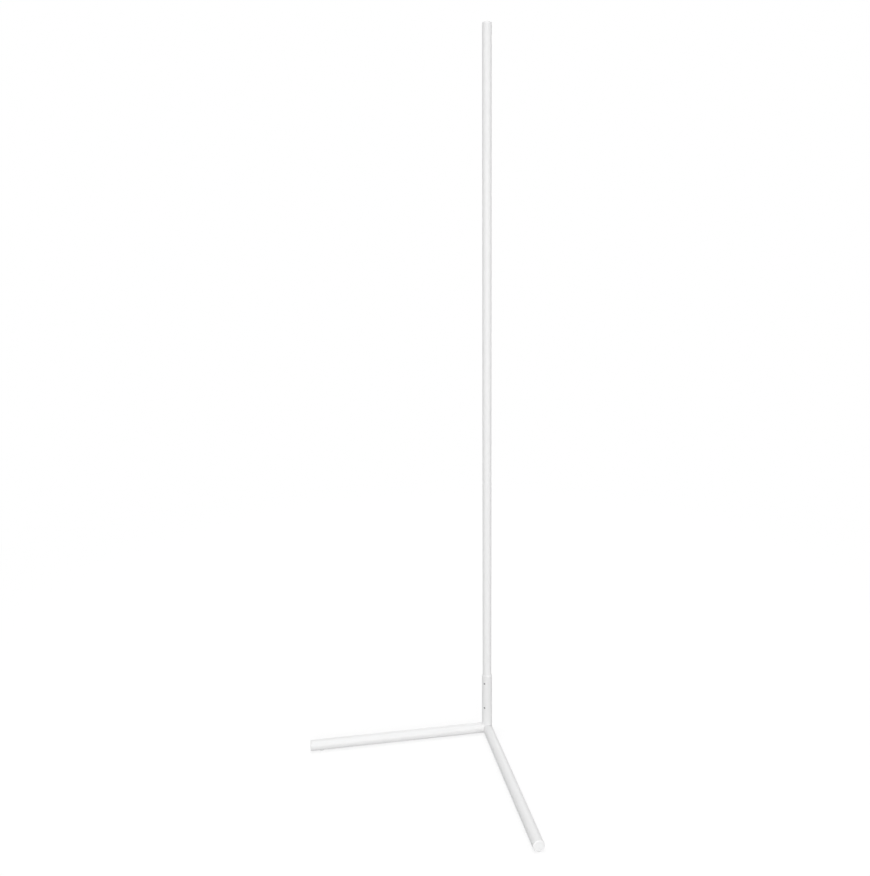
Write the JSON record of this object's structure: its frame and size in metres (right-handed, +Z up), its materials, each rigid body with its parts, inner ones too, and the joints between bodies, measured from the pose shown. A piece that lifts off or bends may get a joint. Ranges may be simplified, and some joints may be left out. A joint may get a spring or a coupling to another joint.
{
  "type": "corner floor lamp",
  "caption": "Slim corner floor lamp: a round light pole with a rear diffuser, held in a socket on round legs that spread at a right angle.",
  "frame": {"origin": "on the floor under the pole's axis, at the bottom of the hub's rubber pad", "axes": "+Z up along the pole; -Y is the lamp's front, along the bisector of the legs; +Y is the back, where the diffuser faces the room's corner; +X to the right seen from the front"},
  "size_m": [0.566, 0.294, 1.5],
  "materials": {
    "tube_paint": "white powder coat on steel tube, satin, very fine texture",
    "hub_paint": "white powder coat on a zinc die casting, satin",
    "pole_paint": "white powder coat on extruded aluminium, satin",
    "foot_metal": "turned aluminium, bare",
    "cap_plastic": "white moulded plastic, satin",
    "pad_rubber": "translucent whitish silicone rubber",
    "screw_steel": "plain zinc-plated steel",
    "inlet_plastic": "white moulded plastic",
    "pin_brass": "nickel-flashed brass",
    "lead_jacket": "white PVC lead jacket",
    "plug_plastic": "natural nylon connector housing",
    "board_white": "white solder mask on glass-epoxy board",
    "chip_black": "black moulded chip package",
    "strip_white": "white flexible printed circuit",
    "led_package": "white package with a clear resin window",
    "diffuser_low": "opal, milky snap-in diffuser, lit pink to violet",
    "diffuser_high": "opal, milky snap-in diffuser, lit green"
  },
  "bodies": {
    "base": {"corner_hub": "hub_paint", "socket_sleeve": "tube_paint", "left_leg_tube": "tube_paint", "right_leg_tube": "tube_paint", "leg_caps": "cap_plastic", "hub_foot_pad": "pad_rubber", "leg_foot_pads": "pad_rubber", "socket_set_screws": "screw_steel", "leg_set_screws": "screw_steel", "power_inlet": "inlet_plastic", "inlet_pin": "pin_brass", "inlet_lead": "lead_jacket", "lead_socket": "plug_plastic", "lead_plug": "plug_plastic"},
    "pole": {"pole_foot": "foot_metal", "pole_foot_screw": "screw_steel", "pole_lead": "lead_jacket", "lower_profile": "pole_paint", "upper_profile": "pole_paint", "lower_diffuser": "diffuser_low", "upper_diffuser": "diffuser_high", "profile_joiner": "foot_metal", "joiner_screws": "screw_steel", "top_cap": "cap_plastic", "controller_board": "board_white", "controller_chips": "chip_black", "jumper_wires": "lead_jacket", "lower_led_strip": "strip_white", "upper_led_strip": "strip_white", "lower_leds": "led_package", "upper_leds": "led_package", "strip_socket": "plug_plastic", "strip_plug": "plug_plastic"}
  },
  "joints": [
    {"name": "pole_turn", "type": "hinge", "parent": "base", "child": "pole", "pos_m": [0, 0, 0.0762], "axis": [0, 0, 1], "range_deg": [-180, 180]}
  ]
}
